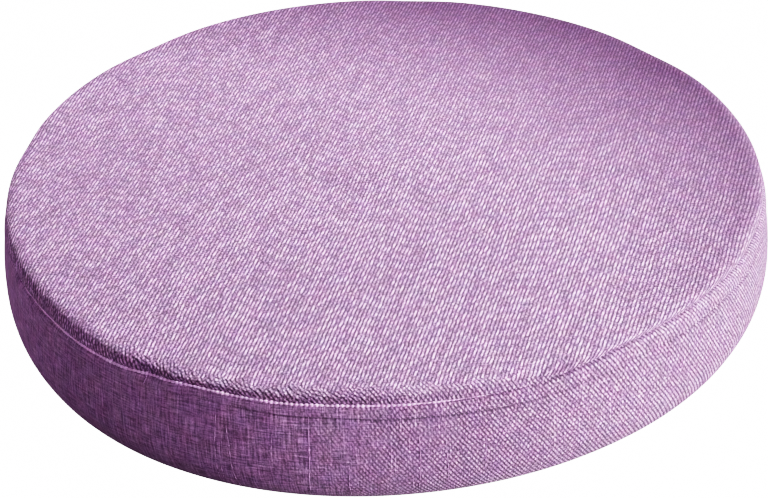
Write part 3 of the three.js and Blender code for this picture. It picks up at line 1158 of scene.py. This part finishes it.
def pale_floor():
    """A plain floor. The camera sees it almost white, and it throws only a little light on the cushion."""
    mesh = bpy.data.meshes.new("floor")
    corners = [(x * FLOOR_REACH, y * FLOOR_REACH, 0.0) for x, y in ((-1, -1), (1, -1), (1, 1), (-1, 1))]
    mesh.from_pydata(corners, [], [(0, 1, 2, 3)])
    material, nodes = new_material("pale_floor")
    material.node_tree.nodes.clear()
    pale = nodes.add("BsdfDiffuse", Color=SEEN_FLOOR)
    seen = mixed_shaders(nodes, FLOOR_GLOW, pale, nodes.add("Emission", Strength=WHITE_LIGHT))
    end_tree(nodes, "Material", nodes.add("BsdfDiffuse", Color=UNSEEN_FLOOR), seen)
    mesh.materials.append(material)
    floor = add_object("floor", mesh)


def room_light():
    """Even, slightly lilac light from all round. The camera sees white behind the floor."""
    world = bpy.data.worlds.new("room")
    bpy.context.scene.world = world
    world.use_nodes = True
    nodes = Nodes(world.node_tree)
    world.node_tree.nodes.clear()
    fill = nodes.add("Background", Color=FILL_COLOUR, Strength=FILL_STRENGTH)
    white = nodes.add("Background", Color=(1.0, 1.0, 1.0, 1.0), Strength=WHITE_LIGHT)
    end_tree(nodes, "World", fill, white)


def stand(azimuth, elevation, distance, aim):
    """Place that is this far from the aim, in a direction given in degrees, and the aim itself."""
    around, up = math.radians(azimuth), math.radians(elevation)
    back = np.array([math.cos(around) * math.cos(up), math.sin(around) * math.cos(up), math.sin(up)])
    return np.array(aim) + back * distance, np.array(aim)


def point_at(item, place, aim, roll=0.0):
    """Puts a lamp or camera at a place with its -Z towards the aim, then rolls it about that line."""
    item.location = place
    forward = (aim - place) / np.linalg.norm(aim - place)
    right = np.cross(forward, (0.0, 0.0, 1.0))
    right /= np.linalg.norm(right)
    up = np.cross(right, forward)
    turned_right = math.cos(roll) * right + math.sin(roll) * up
    turned_up = np.cross(turned_right, forward)
    matrix = np.eye(4)
    matrix[:3, 0], matrix[:3, 1], matrix[:3, 2] = turned_right, turned_up, -forward
    matrix[:3, 3] = place
    item.matrix_world = Matrix(matrix.tolist())


# The camera stands at the photograph's angle: metres, degrees, and millimetres of lens and sensor
CAMERA_DISTANCE = 1.40
CAMERA_ELEVATION = 32.43
CAMERA_ROLL = -2.51
CAMERA_OVER = (-0.0014, -0.0002, 0.032)
CAMERA_AIM = (-0.00115, -0.02255, 0.032)
CAMERA_LENS = 124.5
CAMERA_SENSOR = 36.0


def studio_camera():
    """Camera on the -Y side, looking down at the cushion."""
    data = bpy.data.cameras.new("camera")
    data.lens = CAMERA_LENS
    data.sensor_width = CAMERA_SENSOR
    data.dof.use_dof = False
    camera = add_object("camera", data)
    elevation = math.radians(CAMERA_ELEVATION)
    back = np.array([0.0, -math.cos(elevation), math.sin(elevation)])
    place = np.array(CAMERA_OVER) + CAMERA_DISTANCE * back
    point_at(camera, place, np.array(CAMERA_AIM), math.radians(CAMERA_ROLL))
    bpy.context.scene.camera = camera


# Soft boxes: name, degrees round from +X and up, size in metres, power in watts, and tint
SOFT_BOXES = (
    ("key_lamp", -22.0, 7.0, 0.6, 43.0, (1.0, 1.10, 1.0)),
    ("front_lamp", -55.0, 16.0, 0.6, 19.0, (1.0, 0.84, 1.0)),
    ("left_lamp", 170.0, 12.0, 0.6, 10.5, (1.0, 0.82, 1.0)),
    ("back_lamp", 70.0, 30.0, 0.8, 5.0, (1.0, 0.10, 1.1)),
)
BOX_DISTANCE = 1.8
BOX_AIM = (0.0, 0.0, 0.03)

# The pool of light over the top comes from behind on the right, and its edge falls softly across the back
POOL_AZIMUTH = 40.0
POOL_ELEVATION = 52.0
POOL_DISTANCE = 1.4
POOL_AIM = (-0.25, -0.22, 0.065)
POOL_HALF_ANGLE = 18.8
POOL_BLEND = 0.20
POOL_POWER = 95.0
POOL_TINT = (1.0, 1.045, 1.02)
POOL_SOFTNESS = 0.08


def add_lamp(name, kind, power, tint, place, aim):
    """A lamp at a place that shines towards the aim. Gives its light, for the settings of its kind."""
    light = bpy.data.lights.new(name, kind)
    light.energy = power
    light.color = tint
    point_at(add_object(name, light), place, aim)
    return light


def soft_boxes():
    """Square lamps round the cushion."""
    for name, azimuth, elevation, size, power, tint in SOFT_BOXES:
        light = add_lamp(name, "AREA", power, tint, *stand(azimuth, elevation, BOX_DISTANCE, BOX_AIM))
        light.shape = "SQUARE"
        light.size = size


def pool_lamp():
    """A lamp with a narrow cone, which leaves the roll and the band on its far side in shade."""
    place, aim = stand(POOL_AZIMUTH, POOL_ELEVATION, POOL_DISTANCE, POOL_AIM)
    light = add_lamp("pool_lamp", "SPOT", POOL_POWER, POOL_TINT, place, aim)
    light.spot_size = 2 * math.radians(POOL_HALF_ANGLE)
    light.spot_blend = POOL_BLEND
    light.shadow_soft_size = POOL_SOFTNESS


# The picture's tone curve: how steep its shadows are, the light at half its ceiling, the ceiling, its steps,
# and the power that sets them closer in the shade
TONE_POWER = 1.6
TONE_MIDDLE = 0.434
TONE_CEILING = 1.05
TONE_STEPS = 14
TONE_SPREAD = 2.5


def film_tone():
    """A product photograph's tone, deep in the shade and rolling off to white: the ceiling times the light's
    power over the sum of that and the middle's power. The light that comes out white ends the curve."""
    view = bpy.context.scene.view_settings
    view.view_transform = "Standard"
    view.look = "None"
    view.use_curve_mapping = True
    view.curve_mapping.white_level = (WHITE_LIGHT, WHITE_LIGHT, WHITE_LIGHT)
    points = view.curve_mapping.curves[3].points
    for step in range(1, TONE_STEPS):
        place = (step / TONE_STEPS) ** TONE_SPREAD
        lit = (place * WHITE_LIGHT / TONE_MIDDLE) ** TONE_POWER
        points.new(place, TONE_CEILING * lit / (lit + 1.0))
    view.curve_mapping.update()


def studio():
    """Floor, lights, camera and the tone of the picture."""
    pale_floor()
    room_light()
    soft_boxes()
    pool_lamp()
    studio_camera()
    film_tone()


panel_cloth, band_cloth, highlit_fold_yarn, slub_yarn = cushion_materials()
cover_section = Section()
cover_points = cover_grid(cover_section, TURNS)
build_cover(cover_section, cover_points, panel_cloth, band_cloth)
seam_fold("upper_seam_fold", cover_section, cover_points, "upper", 0.80, highlit_fold_yarn)
seam_fold("under_seam_fold", cover_section, cover_points, "under", 0.6, highlit_fold_yarn)
slub_yarns(cover_section, cover_points, slub_yarn)
studio()
